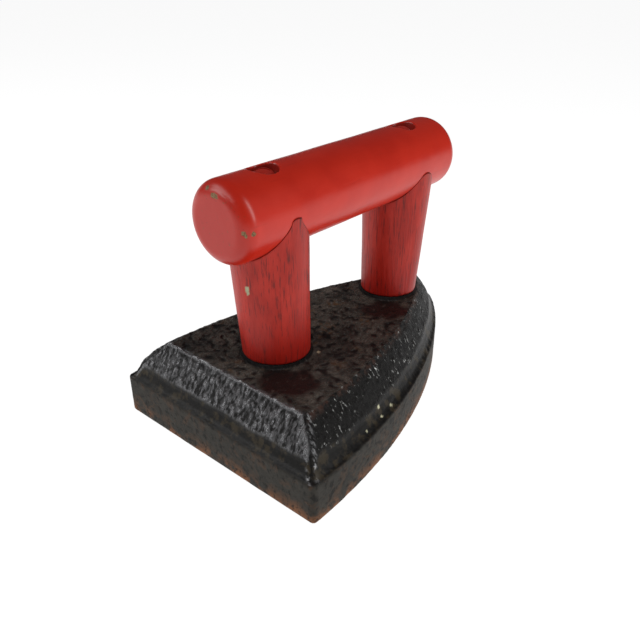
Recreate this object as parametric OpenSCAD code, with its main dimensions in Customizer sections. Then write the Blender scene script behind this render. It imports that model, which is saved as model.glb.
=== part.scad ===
// Sad iron with a bolted wooden handle.
// Frame: +X towards the toe, +Y to the left, +Z up, origin on the sole under the middle of the casting.

/* [Casting] */
// Length of the casting, heel to toe
body_l = 166.4; // [150:0.2:180]
// Width of the casting at the heel
heel_w = 117.4; // [110:0.2:130]
// Height of the upright band round the sole
band_h = 19.7; // [14:0.1:24]
// Height of the flat top above the sole
top_h = 37.9; // [34:0.1:44]
// How far the flat top stands in from the heel
heel_inset = 13.4; // [8:0.1:16]
// How far the flat top stands in from each side, at the heel
side_inset = 16.1; // [12:0.1:20]
// How far the flat top stands in from the toe
toe_inset = 15.9; // [12:0.1:22]
// Fullness of the side curve, 2 is an ellipse
side_power = 2.1; // [1.8:0.05:2.3]
// Sharpness of the toe, 0.5 is an ellipse and 1 is a wedge
toe_power = 0.81; // [0.6:0.01:0.9]
// Ledge left between the band and the foot of the bevel
ledge_w = 1.4; // [0.6:0.1:2]
// How far the bevel bulges beyond a straight slope
bevel_bulge = 1.1; // [0:0.1:1.6]
// Radius of the two upright corners of the heel
corner_r = 2.6; // [1.5:0.1:4]
// Chamfer worn on the bottom edge
sole_wear = 0.8; // [0.3:0.1:1.2]
// Height of the round seat cast under each post
seat_h = 1.5; // [0.5:0.1:2.5]

/* [Handle] */
// Radius of the grip
grip_r = 17.2; // [15:0.1:19]
// Length of the grip
grip_l = 144; // [138:1:152]
// Height of the grip's axis above the sole
grip_z = 105.4; // [98:0.1:115]
// Radius of the rounding at each end of the grip
grip_end_r = 6.4; // [4:0.1:8]
// Radius of the rear post at its foot
rear_foot_r = 15.3; // [13:0.1:16]
// Radius of the front post at its foot, which was turned slimmer
front_foot_r = 14.2; // [13:0.1:16]
// How far the top of each post stands out past the side of the grip
post_proud = 0.25; // [0.25:0.05:0.5]
// Distance from the heel to the foot of the rear post, on its axis
rear_post_x = 41.5; // [38:0.5:44]
// Distance from the heel to the foot of the front post, on its axis
front_post_x = 125.5; // [122:0.5:128]
// Outward lean of each post, in degrees
post_splay = 3; // [0:0.1:3.5]

/* [Bolts] */
// Radius of the bolt's shank and thread
bolt_r = 3; // [2.5:0.25:3.5]
// Radius of the bolt's round head
head_r = 5.2; // [4.4:0.1:5.4]
// Height of the bolt's round head
head_h = 3.6; // [3:0.1:4]
// Width of the screwdriver slot
slot_w = 1.3; // [1:0.1:1.6]
// Depth of the screwdriver slot
slot_d = 1.2; // [0.8:0.1:2]
// Turn of the screwdriver slot from the length of the grip, in degrees
slot_turn = 130; // [0:5:180]
// Outer radius of the washer under the head
washer_r = 6; // [5.5:0.1:6.2]
// Thickness of the washer
washer_t = 1.2; // [0.8:0.1:1.6]
// Radius of the counterbore that hides the head
counterbore_r = 6.6; // [6.4:0.1:7.5]
// Depth of the counterbore below the top of the grip
counterbore_d = 5.6; // [5.4:0.1:8]
// Length of bolt that screws into the casting
thread_engaged = 18; // [12:1:22]
// Pitch of the thread
thread_pitch = 1.27; // [1:0.01:1.5]

/* [Hidden] */
$fn = 96;
eps = 0.01;
outline_steps = 30;
corner_steps = 5;
heel_x = -body_l / 2;
seat_z = top_h + seat_h;
seat_lip = 0.2;
seat_sink = 4;
post_top_r = grip_r + post_proud;
hole_r = bolt_r + 0.25;
tapped_r = bolt_r + 0.05;
tapped_extra = 3;
thread_depth = 0.55;
thread_lead = 0.6;
tip_chamfer = 0.4;
lap = 0.5;
below = 5;
// Along a post's own axis, measured from its foot on the flat top
seat_at = seat_h / cos(post_splay);
axis_at = (grip_z - top_h) / cos(post_splay);
grip_top_at = axis_at + grip_r / cos(post_splay);
washer_at = grip_top_at - counterbore_d;
head_at = washer_at + washer_t;
bolt_end_at = seat_at - thread_engaged;

// One slice through the casting: straight across the heel, curved along both sides to the toe
function half_width(x, l, w) = w / 2 * pow(max(0, 1 - pow(x / l, side_power)), toe_power);
function slice_side(from_x, l, w, r) = concat(
    [for (i = [0 : corner_steps]) let (a = 180 - 90 * i / corner_steps)
        [from_x + r + r * cos(a), half_width(from_x + r, l, w) - r + r * sin(a)]],
    [for (i = [1 : outline_steps]) let (x = from_x + r + (l - from_x - r) * sin(90 * i / outline_steps))
        [x, half_width(x, l, w)]]);
function slice(from_x, l, w, r) = let (left = slice_side(from_x, l, w, r)) concat(
    left, [for (i = [len(left) - 2 : -1 : 0]) [left[i][0], -left[i][1]]]);

module slab(z, h, from_x, l, w, r) {
    translate([heel_x, 0, z]) linear_extrude(height = h) polygon(slice(from_x, l, w, r));
}

// The band rises straight from the sole, with its bottom edge worn back
module band() {
    slab(sole_wear, band_h - sole_wear, 0, body_l, heel_w, corner_r);
    hull() {
        slab(0, eps, sole_wear, body_l - sole_wear, heel_w - 2 * sole_wear, corner_r - sole_wear);
        slab(sole_wear, eps, 0, body_l, heel_w, corner_r);
    }
}

// A slice of the bevel, a fraction s of the way from its foot to the flat top
module bevel_slice(s) {
    bulge = bevel_bulge * 4 * s * (1 - s);
    in_heel = ledge_w + (heel_inset - ledge_w) * s - bulge;
    in_side = ledge_w + (side_inset - ledge_w) * s - bulge;
    in_toe = ledge_w + (toe_inset - ledge_w) * s - bulge;
    slab(band_h + (top_h - band_h - eps) * s, eps, in_heel, body_l - in_toe, heel_w - 2 * in_side, corner_r);
}

module bevels() {
    slab(band_h - 2, 2 + eps, ledge_w, body_l - ledge_w, heel_w - 2 * ledge_w, corner_r);
    hull() for (s = [0, 0.35, 0.7, 1]) bevel_slice(s);
}

// Places a part on a post's axis: side is -1 for the rear post and 1 for the front one
module on_post_axis(side) {
    from_heel = side < 0 ? rear_post_x : front_post_x;
    translate([heel_x + from_heel, 0, top_h]) rotate([0, side * post_splay, 0]) children();
}

module seat(side) {
    from_heel = side < 0 ? rear_post_x : front_post_x;
    foot_r = side < 0 ? rear_foot_r : front_foot_r;
    translate([heel_x + from_heel, 0, top_h - seat_sink]) cylinder(h = seat_h + seat_sink, r = foot_r + seat_lip);
}

module tapped_hole(side) {
    on_post_axis(side) translate([0, 0, bolt_end_at - tapped_extra])
        cylinder(h = thread_engaged + tapped_extra + below, r = tapped_r);
}

module iron_body() {
    color([0.13, 0.12, 0.11]) difference() {
        union() {
            band();
            bevels();
            for (side = [-1, 1]) seat(side);
        }
        for (side = [-1, 1]) tapped_hole(side);
    }
}

// A turned post, cut flat at its foot and coped to the underside of the grip
module post(side) {
    foot_r = side < 0 ? rear_foot_r : front_foot_r;
    slope = (post_top_r - foot_r) / axis_at;
    color([0.62, 0.12, 0.10]) difference() {
        on_post_axis(side) translate([0, 0, -below])
            cylinder(h = axis_at + below, r1 = foot_r - slope * below, r2 = post_top_r);
        translate([-body_l, -heel_w / 2, 0]) cube([2 * body_l, heel_w, seat_z]);
        grip_bar(body_l);
        on_post_axis(side) translate([0, 0, -below - 1]) cylinder(h = axis_at + below, r = hole_r);
    }
}

// The plain round of the grip, of any length
module grip_bar(length) {
    translate([-length / 2, 0, grip_z]) rotate([0, 90, 0]) cylinder(h = length, r = grip_r);
}

// The turned grip, rounded at both ends round a flat disc
module grip_turning() {
    flat_r = grip_r - grip_end_r;
    translate([-grip_l / 2, 0, grip_z]) rotate([0, 90, 0]) rotate_extrude() {
        square([flat_r, grip_l]);
        translate([0, grip_end_r]) square([grip_r, grip_l - 2 * grip_end_r]);
        for (z = [grip_end_r, grip_l - grip_end_r]) translate([flat_r, z]) circle(r = grip_end_r);
    }
}

module handle_grip() {
    color([0.70, 0.13, 0.10]) difference() {
        grip_turning();
        for (side = [-1, 1]) on_post_axis(side) {
            translate([0, 0, axis_at - 2 * grip_r]) cylinder(h = 4 * grip_r, r = hole_r);
            translate([0, 0, washer_at]) cylinder(h = 2 * grip_r, r = counterbore_r);
        }
    }
}

// A long bolt with a domed, slotted head and a thread on its lower end
module bolt(side) {
    dome_r = (head_r * head_r + head_h * head_h) / (2 * head_h);
    color([0.66, 0.14, 0.11]) on_post_axis(side) {
        difference() {
            intersection() {
                translate([0, 0, head_at]) cylinder(h = head_h + 1, r = head_r);
                translate([0, 0, head_at + head_h - dome_r]) sphere(r = dome_r);
            }
            rotate([0, 0, slot_turn]) translate([-head_r - 1, -slot_w / 2, head_at + head_h - slot_d])
                cube([2 * head_r + 2, slot_w, slot_d + 1]);
        }
        translate([0, 0, seat_at - lap]) cylinder(h = head_at - seat_at + 2 * lap, r = bolt_r);
        translate([0, 0, bolt_end_at]) rotate_extrude() polygon(thread_profile());
    }
}

// Half the outline of the threaded end, one vee for each turn
function thread_profile() = let (turns = floor(thread_engaged / thread_pitch) - 1, core_r = bolt_r - thread_depth)
    concat([[0, 0], [core_r - tip_chamfer, 0], [core_r, tip_chamfer]],
           [for (i = [0 : turns - 1], k = [0, 1])
               [k == 0 ? core_r : bolt_r, thread_lead + thread_pitch * (i + 0.5 * k)]],
           [[core_r, thread_lead + thread_pitch * turns], [core_r, thread_engaged - thread_lead],
            [bolt_r, thread_engaged], [0, thread_engaged]]);

module washer(side) {
    color([0.35, 0.33, 0.31]) on_post_axis(side) translate([0, 0, washer_at]) difference() {
        cylinder(h = washer_t, r = washer_r);
        translate([0, 0, -1]) cylinder(h = washer_t + 2, r = hole_r);
    }
}

iron_body();
post(-1);  // rear_post
post(1);  // front_post
handle_grip();
bolt(-1);  // rear_bolt
bolt(1);  // front_bolt
washer(-1);  // rear_washer
washer(1);  // front_washer
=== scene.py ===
import math
from itertools import product
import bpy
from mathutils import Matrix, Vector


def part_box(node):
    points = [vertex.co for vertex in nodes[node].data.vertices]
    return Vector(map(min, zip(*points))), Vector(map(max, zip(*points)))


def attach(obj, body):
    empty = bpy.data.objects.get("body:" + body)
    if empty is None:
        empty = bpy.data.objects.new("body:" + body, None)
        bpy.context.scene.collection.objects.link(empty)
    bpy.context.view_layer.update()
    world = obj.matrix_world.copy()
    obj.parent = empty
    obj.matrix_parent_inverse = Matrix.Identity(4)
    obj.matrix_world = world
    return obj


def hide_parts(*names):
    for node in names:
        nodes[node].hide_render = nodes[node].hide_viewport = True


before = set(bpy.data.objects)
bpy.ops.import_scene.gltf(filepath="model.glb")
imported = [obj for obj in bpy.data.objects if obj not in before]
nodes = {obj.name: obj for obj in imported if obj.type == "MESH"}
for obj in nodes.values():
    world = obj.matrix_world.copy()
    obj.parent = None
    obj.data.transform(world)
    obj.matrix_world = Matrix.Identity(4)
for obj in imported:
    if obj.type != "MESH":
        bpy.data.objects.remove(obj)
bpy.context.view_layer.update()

from types import SimpleNamespace

import bmesh
import bpy
import numpy as np
from mathutils import Matrix, Vector

scene = bpy.context.scene
MM = 0.001
PAINT_GAP = 0.05 * MM      # clearance between two painted faces that touch


# ---------------------------------------------------------------- measurements from the frame

def points(node):
    """A CAD node's vertices, one row each, in metres."""
    mesh = nodes[node].data
    flat = np.empty(3 * len(mesh.vertices), np.float32)
    mesh.vertices.foreach_get("co", flat)
    return flat.reshape(-1, 3).astype(float)


iron = points("iron_body")
heel_x = iron[:, 0].min()
half_w = iron[:, 1].max()
seat_z = iron[:, 2].max()
band_h = iron[iron[:, 0] < heel_x + 0.02 * MM, 2].max()
top_h = iron[np.abs(iron[:, 1]) > 0.5 * half_w, 2].max()
on_top = iron[np.abs(iron[:, 2] - top_h) < 0.03 * MM]
top_heel_x, top_half_w = on_top[:, 0].min(), on_top[:, 1].max()

grip_low, grip_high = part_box("handle_grip")
grip_r = (grip_high.y - grip_low.y) / 2
grip_z = (grip_high.z + grip_low.z) / 2
grip_half = grip_high.x
GRIP_END_R = 6.4 * MM
HOLE_R = 3.25 * MM
COUNTERBORE_R = 6.6 * MM
BOLT_R = 3.0 * MM
THREAD_PITCH = 1.27 * MM
THREAD_DEPTH = 0.55 * MM
THREAD_LENGTH = 18 * MM
SLOT_W = 1.3 * MM
SLOT_D = 1.2 * MM
SLOT_TURN = 130           # degrees from the length of the grip


class Axis:
    """The line down the middle of a post and its bolt. Its start is the middle of the post's foot."""

    def __init__(self, side):
        foot = points(side + "_post")
        foot = foot[foot[:, 2] < foot[:, 2].min() + 0.01 * MM]
        low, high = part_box(side + "_washer")
        self.start = np.array([(foot[:, 0].min() + foot[:, 0].max()) / 2, 0, foot[0, 2]])
        self.along = np.array([(low.x + high.x) / 2, 0, (low.z + high.z) / 2]) - self.start
        self.along /= np.linalg.norm(self.along)
        self.across = np.array([self.along[2], 0, -self.along[0]])
        wall = points(side + "_post")
        height, radius = self.local(wall)
        outer = radius > HOLE_R + 4 * MM
        slope = np.polyfit(height[outer], radius[outer], 1)
        self.foot_r, self.taper = slope[1], slope[0]

    def local(self, p):
        """Distance along the axis and away from it, for each point."""
        rel = p - self.start
        height = rel @ self.along
        return height, np.linalg.norm(rel - height[:, None] * self.along, axis=1)

    def ring(self, height, radius, turn):
        """Points round the axis, at angles turn."""
        height, radius = np.broadcast_arrays(height, radius)
        out = self.start + np.multiply.outer(height * np.ones_like(turn), self.along)
        out = out + (radius * np.cos(turn))[:, None] * self.across
        return out + (radius * np.sin(turn))[:, None] * np.array([0, 1.0, 0])


axes = {side: Axis(side) for side in ("rear", "front")}


# ---------------------------------------------------------------- noise that repeats on every run

def smooth(low, high, x):
    """0 below low, 1 above high, and a smooth step between them."""
    t = np.clip((x - low) / (high - low), 0, 1)
    return t * t * (3 - 2 * t)


def hashed(cell, seed):
    """Three numbers from -1 to 1 for each whole-number cell."""
    x, y, z = (cell[:, i].astype(np.uint64) for i in range(3))
    n = x * np.uint64(73856093) ^ y * np.uint64(19349663) ^ z * np.uint64(83492791)
    n = n ^ np.uint64(seed * 2654435761)
    out = []
    for _ in range(3):
        n = (n ^ (n >> np.uint64(15))) * np.uint64(2246822519) & np.uint64(0xFFFFFFFF)
        n = (n ^ (n >> np.uint64(13))) * np.uint64(3266489917) & np.uint64(0xFFFFFFFF)
        out.append((n >> np.uint64(8)).astype(float) / float(1 << 23) - 1)
    return np.stack(out, 1)


def noise(p, size, seed=0):
    """Smooth noise, about -1 to 1, with bumps of the given size: one number, or one for each axis."""
    q = p / size + 1000.5
    base = np.floor(q).astype(np.int64)
    f = q - base
    w = f * f * f * (f * (f * 6 - 15) + 10)
    total = np.zeros(len(p))
    for corner in product((0, 1), repeat=3):
        c = np.array(corner)
        share = np.prod(np.where(c == 1, w, 1 - w), axis=1)
        total += share * ((f - c) * hashed(base + c, seed)).sum(1)
    return np.clip(total * 1.9, -1, 1)


def layered(p, size, layers, seed=0):
    """Noise with finer noise added on it."""
    total, weight = 0, 0
    for i in range(layers):
        total = total + noise(p, np.asarray(size) / 2 ** i, seed + i) / 1.7 ** i
        weight += 1 / 1.7 ** i
    return total / weight


def spots(p, size, seed=0):
    """Distance to the nearest of some scattered points, as a share of size."""
    q = p / size + 1000.5
    base = np.floor(q).astype(np.int64)
    best = np.full(len(p), 9.0)
    for shift in product((-1, 0, 1), repeat=3):
        cell = base + np.array(shift)
        centre = cell + 0.5 + 0.45 * hashed(cell, seed)
        best = np.minimum(best, np.linalg.norm(q - centre, axis=1))
    return best


# ---------------------------------------------------------------- meshes

def add_object(name, mesh):
    piece = bpy.data.objects.new(name, mesh)
    scene.collection.objects.link(piece)
    return piece


def even_copy(name, node, voxel):
    """A new piece with a CAD node's shape, cut into small even quads."""
    piece = add_object(name, nodes[node].data.copy())
    piece.data.materials.clear()
    weld = bmesh.new()
    weld.from_mesh(piece.data)
    bmesh.ops.remove_doubles(weld, verts=weld.verts, dist=1e-6)
    weld.to_mesh(piece.data)
    weld.free()
    quads = piece.modifiers.new("even_quads", "REMESH")
    quads.mode = "VOXEL"
    quads.voxel_size = voxel
    graph = bpy.context.evaluated_depsgraph_get()
    mesh = bpy.data.meshes.new_from_object(piece.evaluated_get(graph))
    piece.modifiers.clear()
    piece.data = mesh
    mesh.name = name
    return piece


def get_points(piece):
    flat = np.empty(3 * len(piece.data.vertices), np.float32)
    piece.data.vertices.foreach_get("co", flat)
    return flat.reshape(-1, 3).astype(float)


def set_points(piece, co):
    piece.data.vertices.foreach_set("co", co.astype(np.float32).ravel())
    piece.data.update()


def get_normals(piece):
    flat = np.empty(3 * len(piece.data.vertices), np.float32)
    piece.data.vertex_normals.foreach_get("vector", flat)
    return flat.reshape(-1, 3).astype(float)


def edge_ends(piece):
    flat = np.empty(2 * len(piece.data.edges), np.int32)
    piece.data.edges.foreach_get("vertices", flat)
    return flat.reshape(-1, 2)


def neighbour_mean(values, ends, count):
    total = np.zeros((count,) + values.shape[1:])
    hits = np.zeros(count)
    for a, b in ((0, 1), (1, 0)):
        np.add.at(total, ends[:, a], values[ends[:, b]])
        np.add.at(hits, ends[:, a], 1)
    return total / hits.reshape((-1,) + (1,) * (values.ndim - 1))


def soften(piece, rounds, keep=None):
    """Evens out a mesh; keep is how much each vertex holds its place, from 0 to 1."""
    co, ends = get_points(piece), edge_ends(piece)
    hold = 0.5 if keep is None else (0.5 + 0.5 * keep)[:, None]
    for _ in range(rounds):
        co = hold * co + (1 - hold) * neighbour_mean(co, ends, len(co))
    set_points(piece, co)


def paint_values(piece, name, values):
    """Keeps one number for each vertex, for the material to read."""
    layer = piece.data.attributes.new(name, "FLOAT", "POINT")
    layer.data.foreach_set("value", np.asarray(values, np.float32))


def shade_smooth(piece):
    piece.data.polygons.foreach_set("use_smooth", np.ones(len(piece.data.polygons), bool))
    piece.data.update()


def loft(name, rings, closed):
    """A skin over rings of equal length. Closed joins the last ring to the first; open caps both ends."""
    count, around = len(rings), len(rings[0])
    verts = [tuple(p) for ring in rings for p in ring]
    faces = []
    for i in range(count if closed else count - 1):
        a, b = i * around, (i + 1) % count * around
        faces += [(a + j, a + (j + 1) % around, b + (j + 1) % around, b + j) for j in range(around)]
    if not closed:
        for ring, first in ((0, 0), (count - 1, (count - 1) * around)):
            centre = len(verts)
            verts.append(tuple(np.mean(rings[ring], axis=0)))
            for j in range(around):
                pair = (first + j, first + (j + 1) % around)
                faces.append((centre,) + (pair[::-1] if ring == 0 else pair))
    mesh = bpy.data.meshes.new(name)
    mesh.from_pydata(verts, [], faces)
    fixed = bmesh.new()
    fixed.from_mesh(mesh)
    bmesh.ops.recalc_face_normals(fixed, faces=fixed.faces)
    fixed.to_mesh(mesh)
    fixed.free()
    piece = add_object(name, mesh)
    shade_smooth(piece)
    return piece


# ---------------------------------------------------------------- material building

class Nodes:
    """Adds shader nodes to one material. An input is a number, a colour or another node's output."""

    def __init__(self, name):
        self.material = bpy.data.materials.new(name)
        self.material.use_nodes = True
        self.tree = self.material.node_tree
        self.shader = self.tree.nodes["Principled BSDF"]
        self.place = self.add("ShaderNodeTexCoord").outputs["Object"]

    def add(self, kind, inputs=(), **settings):
        made = self.tree.nodes.new(kind)
        for key, value in settings.items():
            setattr(made, key, value)
        for key, value in dict(inputs).items():
            self.plug(made.inputs[key], value)
        return made

    def plug(self, socket, value):
        if isinstance(value, bpy.types.NodeSocket):
            self.tree.links.new(value, socket)
        elif isinstance(value, tuple) and len(value) == 3 and socket.type == "RGBA":
            socket.default_value = (*value, 1)
        else:
            socket.default_value = value

    def math(self, operation, a, b=0.0, clamp=False):
        return self.add("ShaderNodeMath", {0: a, 1: b}, operation=operation, use_clamp=clamp).outputs[0]

    def value(self, name):
        return self.add("ShaderNodeAttribute", attribute_name=name).outputs["Fac"]

    def stretched(self, scale):
        return self.add("ShaderNodeMapping", {"Vector": self.place, "Scale": scale}).outputs[0]

    def clouds(self, size, detail=3.0, roughness=0.55, twist=0.0, place=None):
        """Noise from 0 to 1 with features of the given size in metres."""
        inputs = {"Vector": place or self.place, "Scale": 1 / size, "Detail": detail, "Roughness": roughness,
                  "Distortion": twist}
        return self.add("ShaderNodeTexNoise", inputs).outputs["Fac"]

    def step(self, value, low, high, out_low=0.0, out_high=1.0):
        made = self.add("ShaderNodeMapRange", {"Value": value, "From Min": low, "From Max": high,
                                               "To Min": out_low, "To Max": out_high})
        made.interpolation_type = "SMOOTHSTEP"
        return made.outputs["Result"]

    def blend(self, share, a, b):
        made = self.add("ShaderNodeMix", data_type="RGBA")
        for index, value in ((0, share), (6, a), (7, b)):
            self.plug(made.inputs[index], value)
        return made.outputs[2]

    def blend_value(self, share, a, b):
        made = self.add("ShaderNodeMix", data_type="FLOAT")
        for index, value in ((0, share), (2, a), (3, b)):
            self.plug(made.inputs[index], value)
        return made.outputs[0]

    def bump(self, height, distance, strength=1.0, under=None):
        inputs = {"Height": height, "Distance": distance, "Strength": strength}
        if under is not None:
            inputs["Normal"] = under
        return self.add("ShaderNodeBump", inputs).outputs[0]

    def finish(self, **inputs):
        names = {"colour": "Base Color", "roughness": "Roughness", "metal": "Metallic", "normal": "Normal",
                 "coat": "Coat Weight", "coat_roughness": "Coat Roughness", "specular": "Specular IOR Level"}
        for key, value in inputs.items():
            self.plug(self.shader.inputs[names[key]], value)
        return self.material


# ---------------------------------------------------------------- the casting

def casting_zones(co, normal):
    """Which part of the casting each point lies on, each as a share from 0 to 1."""
    x, y, z = co.T
    up = (z - band_h) / (top_h - band_h)
    off_seats, in_holes = np.ones(len(co)), np.zeros(len(co))
    for axis in axes.values():
        off_seats *= smooth(axis.foot_r + 0.5 * MM, axis.foot_r + 1.6 * MM, np.hypot(x - axis.start[0], y))
        _, reach = axis.local(co)
        near_hole = 1 - smooth(HOLE_R + 0.3 * MM, HOLE_R + 0.8 * MM, reach)
        in_holes = np.maximum(in_holes, near_hole * (z > 5 * MM))
    off_seats *= 1 - smooth(seat_z - 1.0 * MM, seat_z - 0.6 * MM, z)
    flat_on_top = smooth(0.85, 0.97, normal[:, 2]) * smooth(top_h - 1.2 * MM, top_h - 0.4 * MM, z)
    band = 1 - smooth(band_h - 0.7 * MM, band_h + 0.1 * MM, z)
    bevel = (1 - band) * (1 - smooth(0.9, 0.985, normal[:, 2])) * smooth(0.0, 0.3, normal[:, 2])
    flank = np.hypot(normal[:, 0], normal[:, 1]) + 1e-9
    heel = bevel * smooth(0.55, 0.8, -normal[:, 0] / flank)
    # the rough skin stops short of a smooth strip round the foot of the bevel
    strip_top = 0.34 + 0.05 * noise(co, 18 * MM, 1)
    rough = smooth(strip_top - 0.05, strip_top + 0.05, up)
    strip = smooth(0.02, 0.12, up) * (1 - smooth(strip_top - 0.12, strip_top, up))
    sole = smooth(0.6, 0.9, -normal[:, 2])
    return SimpleNamespace(up=up, top=flat_on_top * off_seats, off_seats=off_seats, in_holes=in_holes,
                           band=band, sole=sole, bevel=bevel, heel=heel, side=bevel - heel, rough=rough,
                           strip=strip)


def bevel_relief(co, zone):
    """Hammered heel, flecked sides and the smooth strip below them."""
    x, y, z = co.T
    warp = 1.1 * MM * noise(co, 5 * MM, 2)
    down = (top_h - z) * 1.25
    # the heel has short ridges that run down the slope
    combed = np.stack([y + 0.45 * down + warp, down * 0.42, 0 * y], 1)
    ridges = 1 - 2 * np.abs(noise(combed, 1.7 * MM, 3))
    lumps = layered(co, 4.2 * MM, 3, 4)
    hammered = 0.10 * MM * ridges * smooth(-0.6, 0.5, lumps) + 0.34 * MM * lumps
    # the sides have slimmer flecks that lean the same way
    around = np.stack([x + 0.55 * down + warp, down * 0.4, y * 0.3], 1)
    flecks = np.clip(noise(around, 1.9 * MM, 6) - 0.25, 0, 1) / 0.75
    flecked = 0.26 * MM * flecks + 0.22 * MM * layered(co, 4.5 * MM, 3, 7)
    relief = zone.rough * (zone.heel * hammered + zone.side * flecked)
    relief += zone.bevel * zone.strip * (-0.36 * MM + 0.12 * MM * layered(co, 3 * MM, 2, 8))
    ledge = np.clip(1 - np.abs(z - band_h - 0.6 * MM) / (1.2 * MM), 0, 1) * (1 - zone.sole)
    relief += ledge * 0.32 * MM * layered(co, 3.0 * MM, 2, 30)
    # the left flank swells near the heel
    swell = zone.side * 0.9 * MM * np.clip(4 * zone.up * (1 - zone.up), 0, 1)
    return relief + swell * smooth(0, 20 * MM, y) * smooth(-20 * MM, -55 * MM, x)


def edge_relief(co, zone):
    """A bead along the top edge of the heel, and a crack between two lips down each heel corner."""
    x, y, z = co.T
    from_edge = np.hypot(x - top_heel_x, z - top_h) + 0.35 * MM * noise(co, 9 * MM, 9)
    bead = np.exp(-(from_edge / (0.85 * MM)) ** 2) * (np.abs(y) < top_half_w)
    relief = bead * (0.34 * MM + 0.12 * MM * noise(co, 2.5 * MM, 10))
    foot = np.array([heel_x + 1.6 * MM, half_w - 1.6 * MM, band_h])
    corner = np.array([top_heel_x + 0.6 * MM, top_half_w - 0.6 * MM, top_h])
    line = (corner - foot) / np.linalg.norm(corner - foot)
    mirrored = np.stack([x, np.abs(y), z], 1) - foot
    off_line = np.linalg.norm(mirrored - (mirrored @ line)[:, None] * line, axis=1)
    off_line += 0.3 * MM * noise(co, 4 * MM, 11)
    crack = np.exp(-(off_line / (0.55 * MM)) ** 2) * zone.bevel
    lips = np.exp(-((off_line - 1.7 * MM) / (0.8 * MM)) ** 2) * zone.bevel
    relief += -0.45 * MM * crack + 0.20 * MM * lips * noise(co, 1.8 * MM, 12)
    return relief, bead, crack, lips


def top_relief(co):
    """Ripples, dents, a ring-shaped scar and one raised rough patch, all of it faint in the smooth pools."""
    x, y, _ = co.T
    ripple = 0.16 * MM * layered(co * [1, 1.8, 1], 9 * MM, 3, 13)
    from_patch = np.hypot((x - 2 * MM) / (25 * MM), (y + 2 * MM) / (27 * MM))
    in_patch = 1 - smooth(0.75, 1.1, from_patch + 0.18 * noise(co, 9 * MM, 14))
    twisted = co * [1.0, 1.5, 1] + 2 * MM * noise(co, 6 * MM, 15)[:, None]
    worms = 1 - np.abs(noise(twisted, 3.6 * MM, 16)) * 2.2
    patch = in_patch * (0.55 * MM * np.clip(worms, -0.6, 1) + 0.35 * MM * layered(co, 3.2 * MM, 2, 17))
    skin = 0.10 * MM * layered(co, 2.4 * MM, 2, 18) * smooth(-0.1, 0.5, noise(co, 15 * MM, 19))
    dents = -0.85 * MM * (1 - smooth(0.15, 0.34, spots(co * [1.5, 1, 1], 6.5 * MM, 20)))
    dents *= smooth(0.1, 0.35, noise(co, 16 * MM, 21) + 0.35 * smooth(5 * MM, 15 * MM, y) - 0.1)
    scar_at = np.hypot(x - axes["rear"].start[0] + 3 * MM, y + 21 * MM) + 0.9 * MM * noise(co, 3 * MM, 22)
    scar = 0.32 * MM * np.exp(-((scar_at - 4.3 * MM) / (1.1 * MM)) ** 2)
    scar -= 0.3 * MM * np.exp(-(scar_at / (2.6 * MM)) ** 2)
    pool = np.zeros(len(co))
    for at_x, at_y, size in ((-58, -21, 13), (-46, 2, 8), (21, -15, 11), (44, -5, 9)):
        reach = np.hypot(x - at_x * MM, y - at_y * MM) / (size * MM) + 0.35 * noise(co, 9 * MM, 31)
        pool = np.maximum(pool, 1 - smooth(0.65, 1.30, reach))
    return (1 - 0.85 * pool) * (ripple + patch + skin + dents + scar), pool


def band_relief(co):
    """The band was ground: shallow pits and worn edges, and nothing stands proud of its true surface."""
    z = co[:, 2]
    pits = -0.32 * MM * (1 - smooth(0.10, 0.26, spots(co, 3.4 * MM, 23)))
    pits *= smooth(0.0, 0.5, noise(co, 12 * MM, 24))
    rub = -0.07 * MM * (1 + layered(co, [14 * MM, 14 * MM, 3 * MM], 3, 25))
    near_lip = 1 - smooth(0, 0.5, np.abs(z - band_h) / MM)
    lip_wear = -0.45 * MM * near_lip * (0.5 + 0.5 * noise(co, 5 * MM, 26))
    low_wear = -0.25 * MM * (1 - smooth(0.2, 2.2, z / MM)) * (0.6 + 0.4 * noise(co, 7 * MM, 27))
    return pits + rub + lip_wear + low_wear


def paint_specks(co):
    """Drops of pale paint: four on the right bevel, placed by x and z in mm, and one on the top."""
    x, y, z = co.T
    speck = np.zeros(len(co))
    for at_x, at_z, size in ((-31.6, 24.8, 1.1), (-32.0, 21.1, 0.8), (-22.8, 21.2, 0.9), (-44.4, 21.4, 0.6)):
        reach = np.hypot(x - at_x * MM, 1.4 * (z - at_z * MM)) + (y > 0) + 0.3 * MM * noise(co, 0.9 * MM, 28)
        speck = np.maximum(speck, 1 - smooth(0.7 * size * MM, size * MM, reach))
    reach = np.linalg.norm(co - np.array([-30.9, -15.4, 38.0]) * MM, axis=1)
    return np.maximum(speck, 1 - smooth(0.6 * MM, 0.9 * MM, reach))


def casting_relief(co, normal):
    """How far each point of the casting stands out, in metres, and what the material needs to know there."""
    zone = casting_zones(co, normal)
    on_edges, bead, crack, lips = edge_relief(co, zone)
    on_top, pool = top_relief(co)
    relief = bevel_relief(co, zone) + on_edges + zone.top * on_top
    relief += zone.band * (1 - zone.sole) * band_relief(co)
    relief *= 1 - np.clip(zone.in_holes, 0, 1)
    off_band = 1 - zone.band
    near_edge = np.clip(1 - np.abs(zone.up - 1) / 0.16, 0, 1) * smooth(0.25, 0.75, np.abs(normal[:, 1]))
    facts = {"band_zone": zone.band, "top_zone": zone.top * smooth(-0.7, 0.1, noise(co, 3 * MM, 29)),
             "heel_zone": zone.heel, "strip_zone": zone.bevel * (1 - zone.rough),
             "rough_zone": zone.bevel * zone.rough, "sole_zone": zone.sole, "crack_zone": crack,
             "seat_zone": (1 - zone.off_seats) * off_band, "bead_zone": bead, "lip_zone": lips,
             "edge_zone": near_edge * off_band, "pool_zone": pool, "speck": paint_specks(co)}
    return relief, facts


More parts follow.
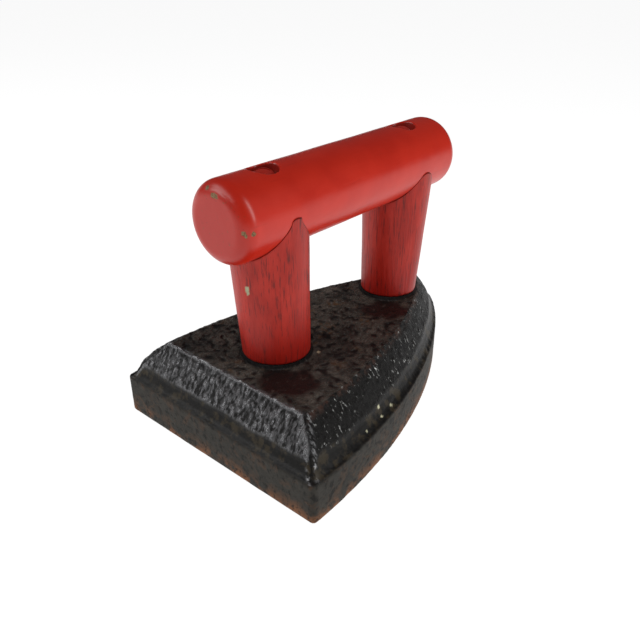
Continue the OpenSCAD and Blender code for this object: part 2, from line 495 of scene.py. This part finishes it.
def make_casting():
    piece = even_copy("iron_casting", "iron_body", 0.7 * MM)
    soften(piece, 2, smooth(0.98, 1.0, np.abs(get_normals(piece)).max(1)))
    co = get_points(piece)
    normal = get_normals(piece)
    relief, facts = casting_relief(co, normal)
    low, high = np.array(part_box("iron_body")[0]), np.array(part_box("iron_body")[1])
    set_points(piece, np.clip(co + relief[:, None] * normal, low, high))
    moved, ends = get_points(piece), edge_ends(piece)
    curve = ((moved - neighbour_mean(moved, ends, len(moved))) * get_normals(piece)).sum(1)
    for _ in range(2):
        curve = 0.4 * curve + 0.6 * neighbour_mean(curve, ends, len(curve))
    facts["crest"] = np.clip(0.5 + curve / (0.12 * MM), 0, 1)
    for name, values in facts.items():
        paint_values(piece, name, values)
    shade_smooth(piece)
    return piece


def casting_material():
    m = Nodes("worn_black_casting")
    band, top, heel, sole = (m.value(name + "_zone") for name in ("band", "top", "heel", "sole"))
    strip, rough_zone, seat, pool = (m.value(name + "_zone") for name in ("strip", "rough", "seat", "pool"))
    crest, bead, lip = m.value("crest"), m.value("bead_zone"), m.value("lip_zone")
    patches, mottle = m.clouds(9 * MM, 5, 0.6, 0.6), m.clouds(2.6 * MM, 4, 0.6)
    grain = m.clouds(0.55 * MM, 4, 0.7)
    height_above_sole = m.add("ShaderNodeSeparateXYZ", {0: m.place}).outputs[2]
    ragged_height = m.math("ADD", height_above_sole, m.math("MULTIPLY", patches, -9 * MM))
    low = m.step(ragged_height, -5 * MM, 4.5 * MM, 1, 0)
    heel_streaks = m.clouds(1.2 * MM, 5, 0.68, 0.8, m.stretched((0.32, 1.0, 0.32)))
    side_streaks = m.clouds(1.1 * MM, 3, 0.6, 0.3, m.stretched((1.0, 0.40, 0.40)))
    streaks = m.blend_value(heel, side_streaks, heel_streaks)

    paint = m.blend(mottle, (0.0045, 0.0042, 0.0040), (0.0115, 0.0106, 0.0096))
    # on top the paint has worn thin: grey-brown washes whose lighter patches are partly painted sheen, a
    # painted reflection of the red posts in the smooth pools, and rust in the hollows
    wash_and_sheen = m.blend(m.step(patches, 0.28, 0.72), (0.024, 0.0205, 0.0175), (0.120, 0.104, 0.086))
    # painted reflection of the red posts: a maroon tint laid into the smooth pools
    post_reflection = m.math("MULTIPLY", pool, m.step(mottle, 0.30, 0.45, 0.6, 0.97))
    wash_and_sheen = m.blend(post_reflection, wash_and_sheen, (0.013, 0.0080, 0.0074))
    paint = m.blend(top, paint, wash_and_sheen)
    hollow = m.step(m.math("ADD", m.math("MULTIPLY", crest, -0.5), patches), 0.20, 0.40)
    hollow = m.math("MULTIPLY", hollow, m.math("SUBTRACT", 1.0, pool))
    rust_top = m.math("MULTIPLY", m.math("MULTIPLY", top, hollow),
                      m.step(m.clouds(12 * MM, 4, 0.6), 0.52, 0.62))
    brown = m.blend(mottle, (0.050, 0.022, 0.011), (0.13, 0.075, 0.034))
    paint = m.blend(m.math("MULTIPLY", rust_top, 0.85), paint, brown)
    edge_rust = m.math("MULTIPLY", m.value("edge_zone"), m.step(m.clouds(3.5 * MM, 4, 0.6), 0.44, 0.60))
    paint = m.blend(m.math("MULTIPLY", edge_rust, 0.7), paint, (0.105, 0.050, 0.034))
    # the heel bevel's ridges, the bead and the lips are rubbed to grey bare metal, and the sides carry pale
    # bare flecks; these greys are also painted glints
    ridge = m.math("ADD", m.math("MULTIPLY", crest, 0.45), m.math("MULTIPLY", heel_streaks, 0.8))
    ridge = m.math("MULTIPLY", m.step(ridge, 0.54, 0.74), m.step(patches, 0.26, 0.50, 0.25, 1))
    rubbed = m.math("MULTIPLY", ridge, m.math("MULTIPLY", heel, rough_zone))
    rubbed = m.math("MAXIMUM", rubbed, m.math("MULTIPLY", bead, m.step(mottle, 0.38, 0.52)))
    rubbed = m.math("MAXIMUM", rubbed, m.math("MULTIPLY", lip, m.step(side_streaks, 0.46, 0.60)))
    # partly painted glint: the rubbed grey stands in for sparkle on the ridges, bead and lips
    paint = m.blend(rubbed, paint, (0.22, 0.22, 0.227))
    # partly painted glint: pale bare-metal flecks on the side bevels
    glint_fleck = m.math("MULTIPLY", m.step(side_streaks, 0.61, 0.67), m.step(m.clouds(8 * MM, 3, 0.6), 0.41, 0.54))
    glint_fleck = m.math("MULTIPLY", glint_fleck, m.math("MULTIPLY", rough_zone, m.math("SUBTRACT", 1.0, heel)))
    paint = m.blend(glint_fleck, paint, (0.42, 0.425, 0.41))
    # the foot of the bevel holds a brown crust
    crust = m.math("MULTIPLY", strip, m.step(m.clouds(5 * MM, 5, 0.65), 0.48, 0.62))
    paint = m.blend(m.math("MULTIPLY", crust, 0.7), paint, (0.055, 0.042, 0.024))
    # painted shade: the crack down each heel corner and the seats round the post feet are darkened
    crease_and_seat_shade = m.math("MAXIMUM", m.value("crack_zone"), m.math("MULTIPLY", seat, 0.9))
    paint = m.blend(crease_and_seat_shade, paint, (0.005, 0.0042, 0.004))

    # the band is ground to bare iron, gone brown, with rust that creeps up from the sole
    bare = m.blend(patches, (0.012, 0.0110, 0.0090), (0.052, 0.047, 0.038))
    bare = m.blend(m.step(m.clouds(7 * MM, 5, 0.65, 0.8), 0.48, 0.64), bare, (0.058, 0.036, 0.023))
    rust = m.blend(mottle, (0.15, 0.055, 0.022), (0.30, 0.125, 0.050))
    bare = m.blend(m.math("MULTIPLY", low, m.step(m.clouds(15 * MM, 4, 0.6), 0.41, 0.52)), bare, rust)
    bare = m.blend(m.step(mottle, 0.50, 0.66, 0, 0.85), bare, (0.009, 0.008, 0.007))
    polished = m.blend(m.clouds(30 * MM, 4, 0.6), (0.20, 0.19, 0.17), (0.11, 0.085, 0.065))
    bare = m.blend(sole, bare, polished)
    colour = m.blend(band, paint, bare)
    colour = m.blend(m.value("speck"), colour, (0.70, 0.68, 0.46))

    gloss = m.blend_value(heel, 0.48, 0.30)
    gloss = m.blend_value(strip, gloss, 0.40)
    gloss = m.blend_value(top, gloss, m.blend_value(patches, 0.12, 0.26))
    gloss = m.blend_value(rust_top, gloss, 0.55)
    gloss = m.blend_value(m.math("MAXIMUM", glint_fleck, rubbed), gloss, 0.26)
    gloss = m.blend_value(crease_and_seat_shade, gloss, 0.8)
    rough = m.blend_value(band, gloss, m.blend_value(mottle, 0.55, 0.75))
    normal = m.bump(grain, 0.06 * MM, 0.7)
    normal = m.bump(m.clouds(1.1 * MM, 4, 0.6), 0.18 * MM, 0.6, normal)
    normal = m.bump(m.math("MULTIPLY", streaks, rough_zone), 1.3 * MM, 1.0, normal)
    wrinkles = m.clouds(3.2 * MM, 5, 0.62, 1.6, m.stretched((0.8, 1.5, 1.0)))
    wrinkled = m.math("MULTIPLY", top, m.math("SUBTRACT", 1.0, m.math("MULTIPLY", pool, 0.85)))
    normal = m.bump(m.math("MULTIPLY", wrinkles, wrinkled), 1.7 * MM, 1.0, normal)
    scratches = m.clouds(1.2 * MM, 3, 0.6, 0, m.stretched((0.25, 0.25, 1.0)))
    normal = m.bump(m.math("MULTIPLY", scratches, band), 0.15 * MM, 0.7, normal)
    worn_bare = m.math("MULTIPLY", m.math("MAXIMUM", glint_fleck, rubbed), 0.75)
    m.plug(m.shader.inputs["Metallic"], m.math("MAXIMUM", m.math("MULTIPLY", sole, 0.7), worn_bare))
    return m.finish(colour=colour, roughness=rough, normal=normal, specular=0.17)


# ---------------------------------------------------------------- the posts

CHIP_UP = 36.5 * MM        # the chip on the rear post, above its foot
CHIP_TURN = -171           # and its angle round the post, in degrees from the toe side


def make_post(side):
    """Turned post: flat foot, walls with open grain, and a saddle that fits the underside of the grip."""
    axis = axes[side]
    seed = 40 if side == "rear" else 60
    around, up_rows = 216, 84
    turn = np.linspace(0, 2 * np.pi, around, endpoint=False)

    def on_wall(height, inset=0.0, turn=turn):
        return axis.ring(height, axis.foot_r + axis.taper * height - inset, turn)

    # where each line up the wall meets the foot plane and the grip
    foot = np.zeros(around)
    for _ in range(6):
        foot = foot - (on_wall(foot)[:, 2] - seat_z) / axis.along[2]
    # where the wall stands proud of the grip it ends in a low arch; the front post's is worn lower
    off_middle = np.minimum(np.abs(np.cos(turn)), 0.35) * grip_r
    top_at = (grip_z - seat_z) / axis.along[2] - (0 if side == "rear" else 2.8 * MM)
    below, above = np.zeros(around), top_at - 0.10 * off_middle ** 2 / MM
    for _ in range(40):
        middle = (below + above) / 2
        p = on_wall(middle)
        outside = np.hypot(p[:, 1], p[:, 2] - grip_z) > grip_r + PAINT_GAP
        below, above = np.where(outside, middle, below), np.where(outside, above, middle)
    rings = []
    for t in np.linspace(0, 1, up_rows):
        height = foot + (below - foot) * t
        p = on_wall(height)
        pore = np.clip(-noise(p * [1, 1, 0.055] + [seed * MM, 0, 0], 0.85 * MM, seed), 0, 1) ** 1.5
        pore *= smooth(-0.3, 0.5, noise(p * [1, 1, 0.4], 6 * MM, seed + 1))
        wave = 0.10 * MM * noise(p, 22 * MM, seed + 2) - 0.10 * MM
        eased = 0.18 * MM * np.clip(1 - np.abs(height - foot) / (0.5 * MM), 0, 1) ** 2
        off_lines = smooth(2 * MM, 8 * MM, off_middle)     # 0 on the two lines that run up to the arches
        share = np.clip(off_lines * (1 + smooth(0.0, 8 * MM, below - height)), 0, 1)
        rings.append(on_wall(height, (0.20 * MM * pore - wave) * share + eased))
    rim = rings[-1]
    saddle = []
    for t in np.linspace(0, 1, 14)[1:]:
        bore = axis.ring((grip_z - grip_r - seat_z) * np.ones(around), HOLE_R, turn)
        p = rim + (bore - rim) * t
        p[:, 2] = grip_z - np.sqrt(np.maximum((grip_r + PAINT_GAP) ** 2 - p[:, 1] ** 2, 0))
        saddle.append(p)
    rings += saddle
    top_of_bore, _ = axis.local(saddle[-1])
    rings += [axis.ring(top_of_bore * (1 - t), HOLE_R, turn) for t in np.linspace(0, 1, 12)[1:-1]]
    for t in np.linspace(0, 1, 8)[:-1]:
        p = axis.ring(0.0, HOLE_R, turn) * (1 - t) + rings[0] * t
        p[:, 2] = seat_z
        rings.append(p)
    piece = loft(side + "_post_wood", rings, closed=True)
    co = get_points(piece)
    height, _ = axis.local(co)
    # painted shade along the joins: 1 next to the foot and the rim, where the post meets casting and grip
    join_shade = np.zeros(len(co))
    first, last = rings[0], rings[up_rows - 1]
    for i in range(up_rows):
        part = slice(i * around, (i + 1) * around)
        above_foot, below_rim = (np.linalg.norm(rings[i] - end, axis=1) for end in (first, last))
        gap = np.minimum(above_foot * 1.4, below_rim)
        join_shade[part] = 1 - smooth(0.15 * MM, 0.9 * MM, gap)
    paint_values(piece, "join_shade", join_shade)
    # painted shade toward the foot of the post
    paint_values(piece, "foot_shade", 1 - smooth(2 * MM, 26 * MM, height))
    chip = np.zeros(len(co))
    if side == "rear":
        spot = on_wall(np.array([CHIP_UP]), turn=np.radians([CHIP_TURN]))[0]
        reach = np.linalg.norm((co - spot) * [1, 1.5, 0.75], axis=1)
        chip = 1 - smooth(1.3 * MM, 1.7 * MM, reach + 0.6 * MM * noise(co, 0.9 * MM, 77))
    paint_values(piece, "chip", chip)
    return piece


def post_material():
    m = Nodes("red_enamel_open_grain")
    streaks = m.clouds(1.5 * MM, 4, 0.65, 0.2, m.stretched((1.0, 1.0, 0.05)))
    pores = m.clouds(0.62 * MM, 3, 0.6, 0.0, m.stretched((1.0, 1.0, 0.06)))
    wide = m.clouds(8 * MM, 3, 0.55, 0.3, m.stretched((1.0, 1.0, 0.3)))
    red = m.blend(m.step(wide, 0.35, 0.65), (0.38, 0.014, 0.006), (0.50, 0.026, 0.014))
    # painted shade: the red darkens toward the foot, beside the black casting
    red = m.blend(m.math("MULTIPLY", m.value("foot_shade"), 0.8), red, (0.36, 0.009, 0.004))
    dark = m.math("MULTIPLY", m.step(streaks, 0.53, 0.68), m.step(m.clouds(6 * MM, 3), 0.36, 0.58))
    red = m.blend(m.math("MULTIPLY", dark, 0.85), red, (0.070, 0.007, 0.006))
    red = m.blend(m.step(pores, 0.55, 0.66, 0, 0.70), red, (0.11, 0.009, 0.007))
    # painted shade at the joins with the casting and the grip
    join_shade = m.math("MULTIPLY", m.value("join_shade"), m.step(m.clouds(4 * MM, 3), 0.25, 0.6))
    red = m.blend(m.math("MULTIPLY", join_shade, 0.6), red, (0.060, 0.010, 0.008))
    red = m.blend(m.value("chip"), red, m.blend(pores, (0.16, 0.20, 0.09), (0.55, 0.56, 0.36)))
    normal = m.bump(streaks, 0.22 * MM, 0.65)
    normal = m.bump(pores, 0.14 * MM, 0.6, normal)
    normal = m.bump(m.clouds(0.4 * MM, 2), 0.02 * MM, 0.5, normal)
    rough = m.blend_value(wide, 0.36, 0.50)
    return m.finish(colour=red, roughness=rough, normal=normal, specular=0.3)


# ---------------------------------------------------------------- the grip

# Chips of bare wood on the grip's roundings: which end (-1 is the heel's), how far from that end in mm,
# angle up from +Y in degrees, and size in mm
GRIP_CHIPS = [(-1, 1.2, 74, 1.1), (-1, 0.1, 90, 1.2), (-1, 0.1, 98, 1.0), (-1, 1.2, 178, 0.9),
              (-1, 1.6, 182, 0.8), (-1, 4.1, 180, 0.9), (1, 1.6, 60, 1.2), (1, 0.9, 130, 0.9),
              (1, 2.2, 5, 1.0)]


def make_grip():
    piece = even_copy("grip_wood", "handle_grip", 0.55 * MM)
    soften(piece, 1)
    co = get_points(piece)
    x, y, z = co.T
    radial = np.hypot(y, z - grip_z)
    out_x = np.abs(x) - (grip_half - GRIP_END_R)
    out_r = radial - (grip_r - GRIP_END_R)
    both = (out_x > 0) & (out_r > 0)
    length = np.hypot(out_x, out_r)
    depth = np.where(both, length, np.where(out_r <= 0, out_x, out_r)) - GRIP_END_R
    push_x = np.where(both, out_x / length, (out_r <= 0).astype(float)) * np.sign(x)
    push_r = np.where(both, out_r / length, (out_r > 0).astype(float))
    spoke = np.stack([0 * x, y, z - grip_z], 1) / np.maximum(radial, 1e-9)[:, None]
    outward = np.stack([push_x, 0 * x, 0 * x], 1) + push_r[:, None] * spoke

    # put the outside back on its true surface, and the walls of the holes on theirs
    near_hole = np.zeros(len(co))
    for axis in axes.values():
        _, reach = axis.local(co)
        upper = z > grip_z
        for radius, here in ((COUNTERBORE_R, upper), (HOLE_R, ~upper)):
            rim = np.clip(1 - np.abs(reach - radius) / (0.9 * MM), 0, 1) * here
            near_hole = np.maximum(near_hole, np.where(reach < radius, here, rim))
    snap = (np.abs(depth) < 0.7 * MM) * (1 - near_hole)
    co = co - (snap * depth)[:, None] * outward
    # hand turning left it a little uneven, always inside the true round
    skin = np.abs(depth) < 0.9 * MM
    angle = np.stack([x, y * 0.6, z * 0.6], 1)
    wave = 0.10 * MM * (noise(angle, 21 * MM, 80) - 1) + 0.02 * MM * (noise(co, 5 * MM, 81) - 1)
    co = co + (wave * skin * (1 - near_hole))[:, None] * outward

    chip = np.zeros(len(co))
    for end, from_end, degrees, size in GRIP_CHIPS:
        at_x = end * (grip_half - from_end * MM)
        turn = math.radians(degrees)
        inset = max(0.0, abs(at_x) - (grip_half - GRIP_END_R))
        ring_r = grip_r - GRIP_END_R + math.sqrt(max(GRIP_END_R ** 2 - inset ** 2, 0))
        spot = np.array([at_x, ring_r * math.cos(turn), grip_z + ring_r * math.sin(turn)])
        reach = np.linalg.norm((co - spot) * [1.5, 1, 1], axis=1) + 0.6 * MM * noise(co, 1.2 * MM, 82)
        chip = np.maximum(chip, 1 - smooth(size * MM * 0.6, size * MM * 1.6, reach))
    co = co - (0.10 * MM * chip * skin)[:, None] * outward
    set_points(piece, co)
    paint_values(piece, "chip", chip)
    rubbed = np.clip(1 - np.abs(depth) / MM, 0, 1) * np.clip(out_x / GRIP_END_R, 0, 1)
    paint_values(piece, "end_zone", rubbed)
    # painted shade inside the counterbores
    hole_shade = np.zeros(len(co))
    for axis in axes.values():
        _, reach = axis.local(co)
        hole_shade = np.maximum(hole_shade, (reach < COUNTERBORE_R + 0.2 * MM) * (depth < -0.6 * MM))
    paint_values(piece, "hole_shade", hole_shade)
    shade_smooth(piece)
    return piece


def grip_material():
    m = Nodes("glossy_red_enamel")
    wide = m.clouds(17 * MM, 3, 0.5)
    runs = m.clouds(3.2 * MM, 3, 0.55, 0.3, m.stretched((0.12, 1.0, 1.0)))
    red = m.blend(m.step(wide, 0.35, 0.65), (0.55, 0.017, 0.005), (0.61, 0.022, 0.007))
    red = m.blend(m.math("MULTIPLY", m.value("end_zone"), 0.55), red, (0.34, 0.013, 0.007))
    red = m.blend(m.step(runs, 0.60, 0.80, 0, 0.35), red, (0.30, 0.012, 0.007))
    specks = m.step(m.clouds(1.0 * MM, 2, 0.5), 0.70, 0.76, 0, 0.8)
    worn = m.math("MULTIPLY", m.value("end_zone"), m.step(m.clouds(1.6 * MM, 5, 0.7), 0.63, 0.68))
    red = m.blend(m.math("MULTIPLY", worn, 0.8), red, (0.13, 0.055, 0.018))
    red = m.blend(m.math("MULTIPLY", specks, m.value("end_zone")), red, (0.16, 0.02, 0.01))
    bare_wood = m.blend(m.step(m.clouds(0.7 * MM, 3), 0.4, 0.6), (0.15, 0.070, 0.028), (0.26, 0.17, 0.080))
    chip = m.step(m.math("ADD", m.value("chip"), m.math("MULTIPLY", m.clouds(0.8 * MM, 3), 0.5)), 0.62, 0.78)
    red = m.blend(chip, red, bare_wood)
    # painted shade: darker red down in the counterbores
    red = m.blend(m.math("MULTIPLY", m.value("hole_shade"), 0.8), red, (0.22, 0.014, 0.010))
    scratch = m.add("ShaderNodeTexVoronoi", {"Vector": m.stretched((0.10, 1.0, 0.5)), "Scale": 1 / (5 * MM)},
                    feature="DISTANCE_TO_EDGE").outputs["Distance"]
    scratch = m.math("MULTIPLY", m.step(scratch, 0.0, 0.02, 1, 0), m.step(m.clouds(12 * MM, 2), 0.52, 0.62))
    normal = m.bump(runs, 0.10 * MM, 0.25)
    normal = m.bump(m.clouds(4.5 * MM, 3, 0.5), 0.10 * MM, 0.22, normal)
    normal = m.bump(scratch, -0.03 * MM, 0.5, normal)
    rough = m.blend_value(chip, m.blend_value(wide, 0.27, 0.36), 0.75)
    return m.finish(colour=red, roughness=rough, normal=normal, specular=0.42)


# ---------------------------------------------------------------- bolts and washers

def make_bolt(side):
    axis = axes[side]
    height, radius = axis.local(points(side + "_bolt"))
    head_r, end_at, tip_at = radius.max(), height.max(), height.min()
    head_at = height[radius > head_r - 0.02 * MM].min()
    around = 72
    turn = np.linspace(0, 2 * np.pi, around, endpoint=False)
    rings = []
    for t in np.linspace(0, 1, 128):
        at = tip_at + t * THREAD_LENGTH
        phase = np.abs(((at / THREAD_PITCH - turn / (2 * np.pi)) % 1) * 2 - 1)
        fade = smooth(THREAD_LENGTH, THREAD_LENGTH - 1.5 * MM, at - tip_at)
        blunt = 0.5 * MM * np.clip(1 - (at - tip_at) / (1.2 * MM), 0, 1)
        rings.append(axis.ring(at, BOLT_R - THREAD_DEPTH * phase * fade - blunt, turn))
    thread_end = tip_at + THREAD_LENGTH
    rings += [axis.ring(thread_end + (head_at - thread_end) * t, BOLT_R, turn)
              for t in np.linspace(0, 1, 30)[1:]]
    rings += [axis.ring(head_at, r, turn) for r in np.linspace(BOLT_R, head_r - 0.25 * MM, 5)[1:]]
    tall = end_at - head_at
    dome_r = (head_r ** 2 + tall ** 2) / (2 * tall)
    for r in head_r * np.cos(np.linspace(0.05, math.pi / 2 - 0.06, 22)):
        rings.append(axis.ring(end_at - dome_r + math.sqrt(dome_r ** 2 - r ** 2), r, turn))
    piece = loft(side + "_bolt_steel", rings, closed=False)
    cutter = bmesh.new()
    bmesh.ops.create_cube(cutter, size=1)
    cutter.transform(slot_place(axis, end_at - SLOT_D + 2 * MM, (4 * head_r, SLOT_W, 4 * MM)))
    mesh = bpy.data.meshes.new("slot_cutter")
    cutter.to_mesh(mesh)
    cutter.free()
    tool = add_object("slot_cutter", mesh)
    cut = piece.modifiers.new("slot", "BOOLEAN")
    cut.operation, cut.solver, cut.object = "DIFFERENCE", "EXACT", tool
    graph = bpy.context.evaluated_depsgraph_get()
    cut_mesh = bpy.data.meshes.new_from_object(piece.evaluated_get(graph))
    piece.modifiers.clear()
    piece.data = cut_mesh
    bpy.data.objects.remove(tool)
    piece.data.materials.clear()
    shade_smooth(piece)
    piece.data.set_sharp_from_angle(angle=math.radians(40))
    height, _ = axis.local(get_points(piece))
    paint_values(piece, "painted", smooth(head_at - 0.2 * MM, head_at + 0.2 * MM, height))
    return piece


def slot_place(axis, height, size):
    """The matrix that turns a unit cube into the screwdriver slot's cutter."""
    centre = axis.start + axis.along * height
    upright = Matrix((axis.across, (0, 1, 0), axis.along)).transposed().to_4x4()
    turn = Matrix.Rotation(math.radians(SLOT_TURN), 4, "Z")
    return Matrix.Translation(Vector(centre)) @ upright @ turn @ Matrix.Diagonal((*size, 1))


def make_washer(side):
    axis = axes[side]
    height, radius = axis.local(points(side + "_washer"))
    low, high, inner, outer = height.min(), height.max(), radius.min(), radius.max()
    inner = max(inner, HOLE_R)
    turn = np.linspace(0, 2 * np.pi, 96, endpoint=False)
    ease = 0.15 * MM
    middle = (inner + outer) / 2
    profile = [(low, inner + ease), (low, middle), (low, outer - ease), (low + ease / 3, outer - ease / 3),
               (low + ease, outer), (high - ease, outer), (high - ease / 3, outer - ease / 3),
               (high, outer - ease), (high, middle), (high, inner + ease),
               (high - ease / 3, inner + ease / 3), (high - ease, inner),
               (low + ease, inner), (low + ease / 3, inner + ease / 3)]
    return loft(side + "_washer_steel", [axis.ring(h, r, turn) for h, r in profile], closed=True)


def bolt_material():
    m = Nodes("bolt_steel_red_head")
    painted = m.value("painted")
    chipped = m.math("MULTIPLY", painted, m.step(m.clouds(1.3 * MM, 4, 0.6), 0.24, 0.30))
    steel = m.blend(m.clouds(1.5 * MM, 4, 0.6), (0.30, 0.26, 0.22), (0.46, 0.43, 0.40))
    red = m.blend(m.clouds(1.2 * MM, 3), (0.36, 0.014, 0.008), (0.48, 0.026, 0.014))
    colour = m.blend(chipped, steel, red)
    metal = m.math("SUBTRACT", 1.0, chipped)
    rough = m.blend_value(chipped, 0.42, 0.30)
    turned = m.clouds(0.5 * MM, 2, 0.5, 0.0, m.stretched((0.4, 0.4, 3.0)))
    normal = m.bump(turned, 0.03 * MM, 0.5)
    m.plug(m.shader.inputs["Metallic"], metal)
    return m.finish(colour=colour, roughness=rough, normal=normal)


def washer_material():
    m = Nodes("dull_washer_steel")
    rusty = m.step(m.clouds(1.4 * MM, 5, 0.65), 0.45, 0.6)
    colour = m.blend(rusty, (0.24, 0.22, 0.20), (0.12, 0.055, 0.030))
    rough = m.blend_value(rusty, 0.45, 0.75)
    m.plug(m.shader.inputs["Metallic"], m.math("SUBTRACT", 1.0, rusty))
    return m.finish(colour=colour, roughness=rough, normal=m.bump(m.clouds(0.35 * MM, 3), 0.04 * MM, 0.6))


# ---------------------------------------------------------------- assembly

def put_in(piece, material, node):
    piece.data.materials.append(material)
    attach(piece, "root")
    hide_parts(node)


put_in(make_casting(), casting_material(), "iron_body")
put_in(make_grip(), grip_material(), "handle_grip")
post_paint, bolt_finish, washer_finish = post_material(), bolt_material(), washer_material()
for side in ("rear", "front"):
    put_in(make_post(side), post_paint, side + "_post")
    put_in(make_bolt(side), bolt_finish, side + "_bolt")
    put_in(make_washer(side), washer_finish, side + "_washer")


# ---------------------------------------------------------------- stage, light and camera

def plain_sheet(name, half, height, colour, glow):
    """A level square that glows a little, from -half to half on both axes."""
    mesh = bpy.data.meshes.new(name)
    corners = [(half * x, half * y, height) for x, y in ((-1, -1), (1, -1), (1, 1), (-1, 1))]
    mesh.from_pydata(corners, [], [(0, 1, 2, 3)])
    sheet = add_object(name, mesh)
    material = bpy.data.materials.new(name + "_paper")
    material.use_nodes = True
    shader = material.node_tree.nodes["Principled BSDF"]
    shader.inputs["Base Color"].default_value = (*colour, 1)
    shader.inputs["Roughness"].default_value = 0.9
    shader.inputs["Specular IOR Level"].default_value = 0.1
    shader.inputs["Emission Color"].default_value = (1, 1, 1, 1)
    shader.inputs["Emission Strength"].default_value = glow
    mesh.materials.append(material)
    return sheet


LIT_SPOT = Vector((0, 0, 0.06))


def softbox(name, toward, distance, size, power):
    """A rectangular light, so wide and so high, that shines on the iron from the given direction."""
    light = bpy.data.lights.new(name, "AREA")
    light.energy, light.shape = power, "RECTANGLE"
    light.size, light.size_y = size
    lamp = bpy.data.objects.new(name, light)
    lamp.location = LIT_SPOT + Vector(toward).normalized() * distance
    lamp.rotation_euler = (LIT_SPOT - lamp.location).to_track_quat("-Z", "Y").to_euler()
    scene.collection.objects.link(lamp)


plain_sheet("studio_floor", half=4.0, height=-0.1 * MM, colour=(0.3, 0.3, 0.3), glow=0.92)
softbox("long_window_left", (-0.62, 0.42, 0.66), 1.0, (1.0, 0.26), 2.8)
softbox("low_window_left", (-0.70, 0.576, 0.416), 1.0, (0.42, 0.26), 1.8)
softbox("tall_window_right", (0.22, -0.80, 0.52), 1.0, (0.16, 0.9), 4.8)

world = bpy.data.worlds.new("soft_studio")
world.use_nodes = True
scene.world = world
sky = world.node_tree.nodes["Background"]
sky.inputs["Color"].default_value = (0.08, 0.08, 0.082, 1)
scene.view_settings.view_transform = "Standard"

CAMERA_AT = Vector((-0.2284, -0.1882, 0.1985))
CAMERA_TURN, CAMERA_TILT = 0.7164, -0.5028     # radians from +X, and below the horizon
lens = bpy.data.cameras.new("view_lens")
lens.sensor_width, lens.lens = 36, 38.75
camera = bpy.data.objects.new("view_camera", lens)
camera.location = CAMERA_AT
ahead = Vector((math.cos(CAMERA_TURN) * math.cos(CAMERA_TILT), math.sin(CAMERA_TURN) * math.cos(CAMERA_TILT),
                math.sin(CAMERA_TILT)))
camera.rotation_euler = ahead.to_track_quat("-Z", "Y").to_euler()
scene.collection.objects.link(camera)
scene.camera = camera
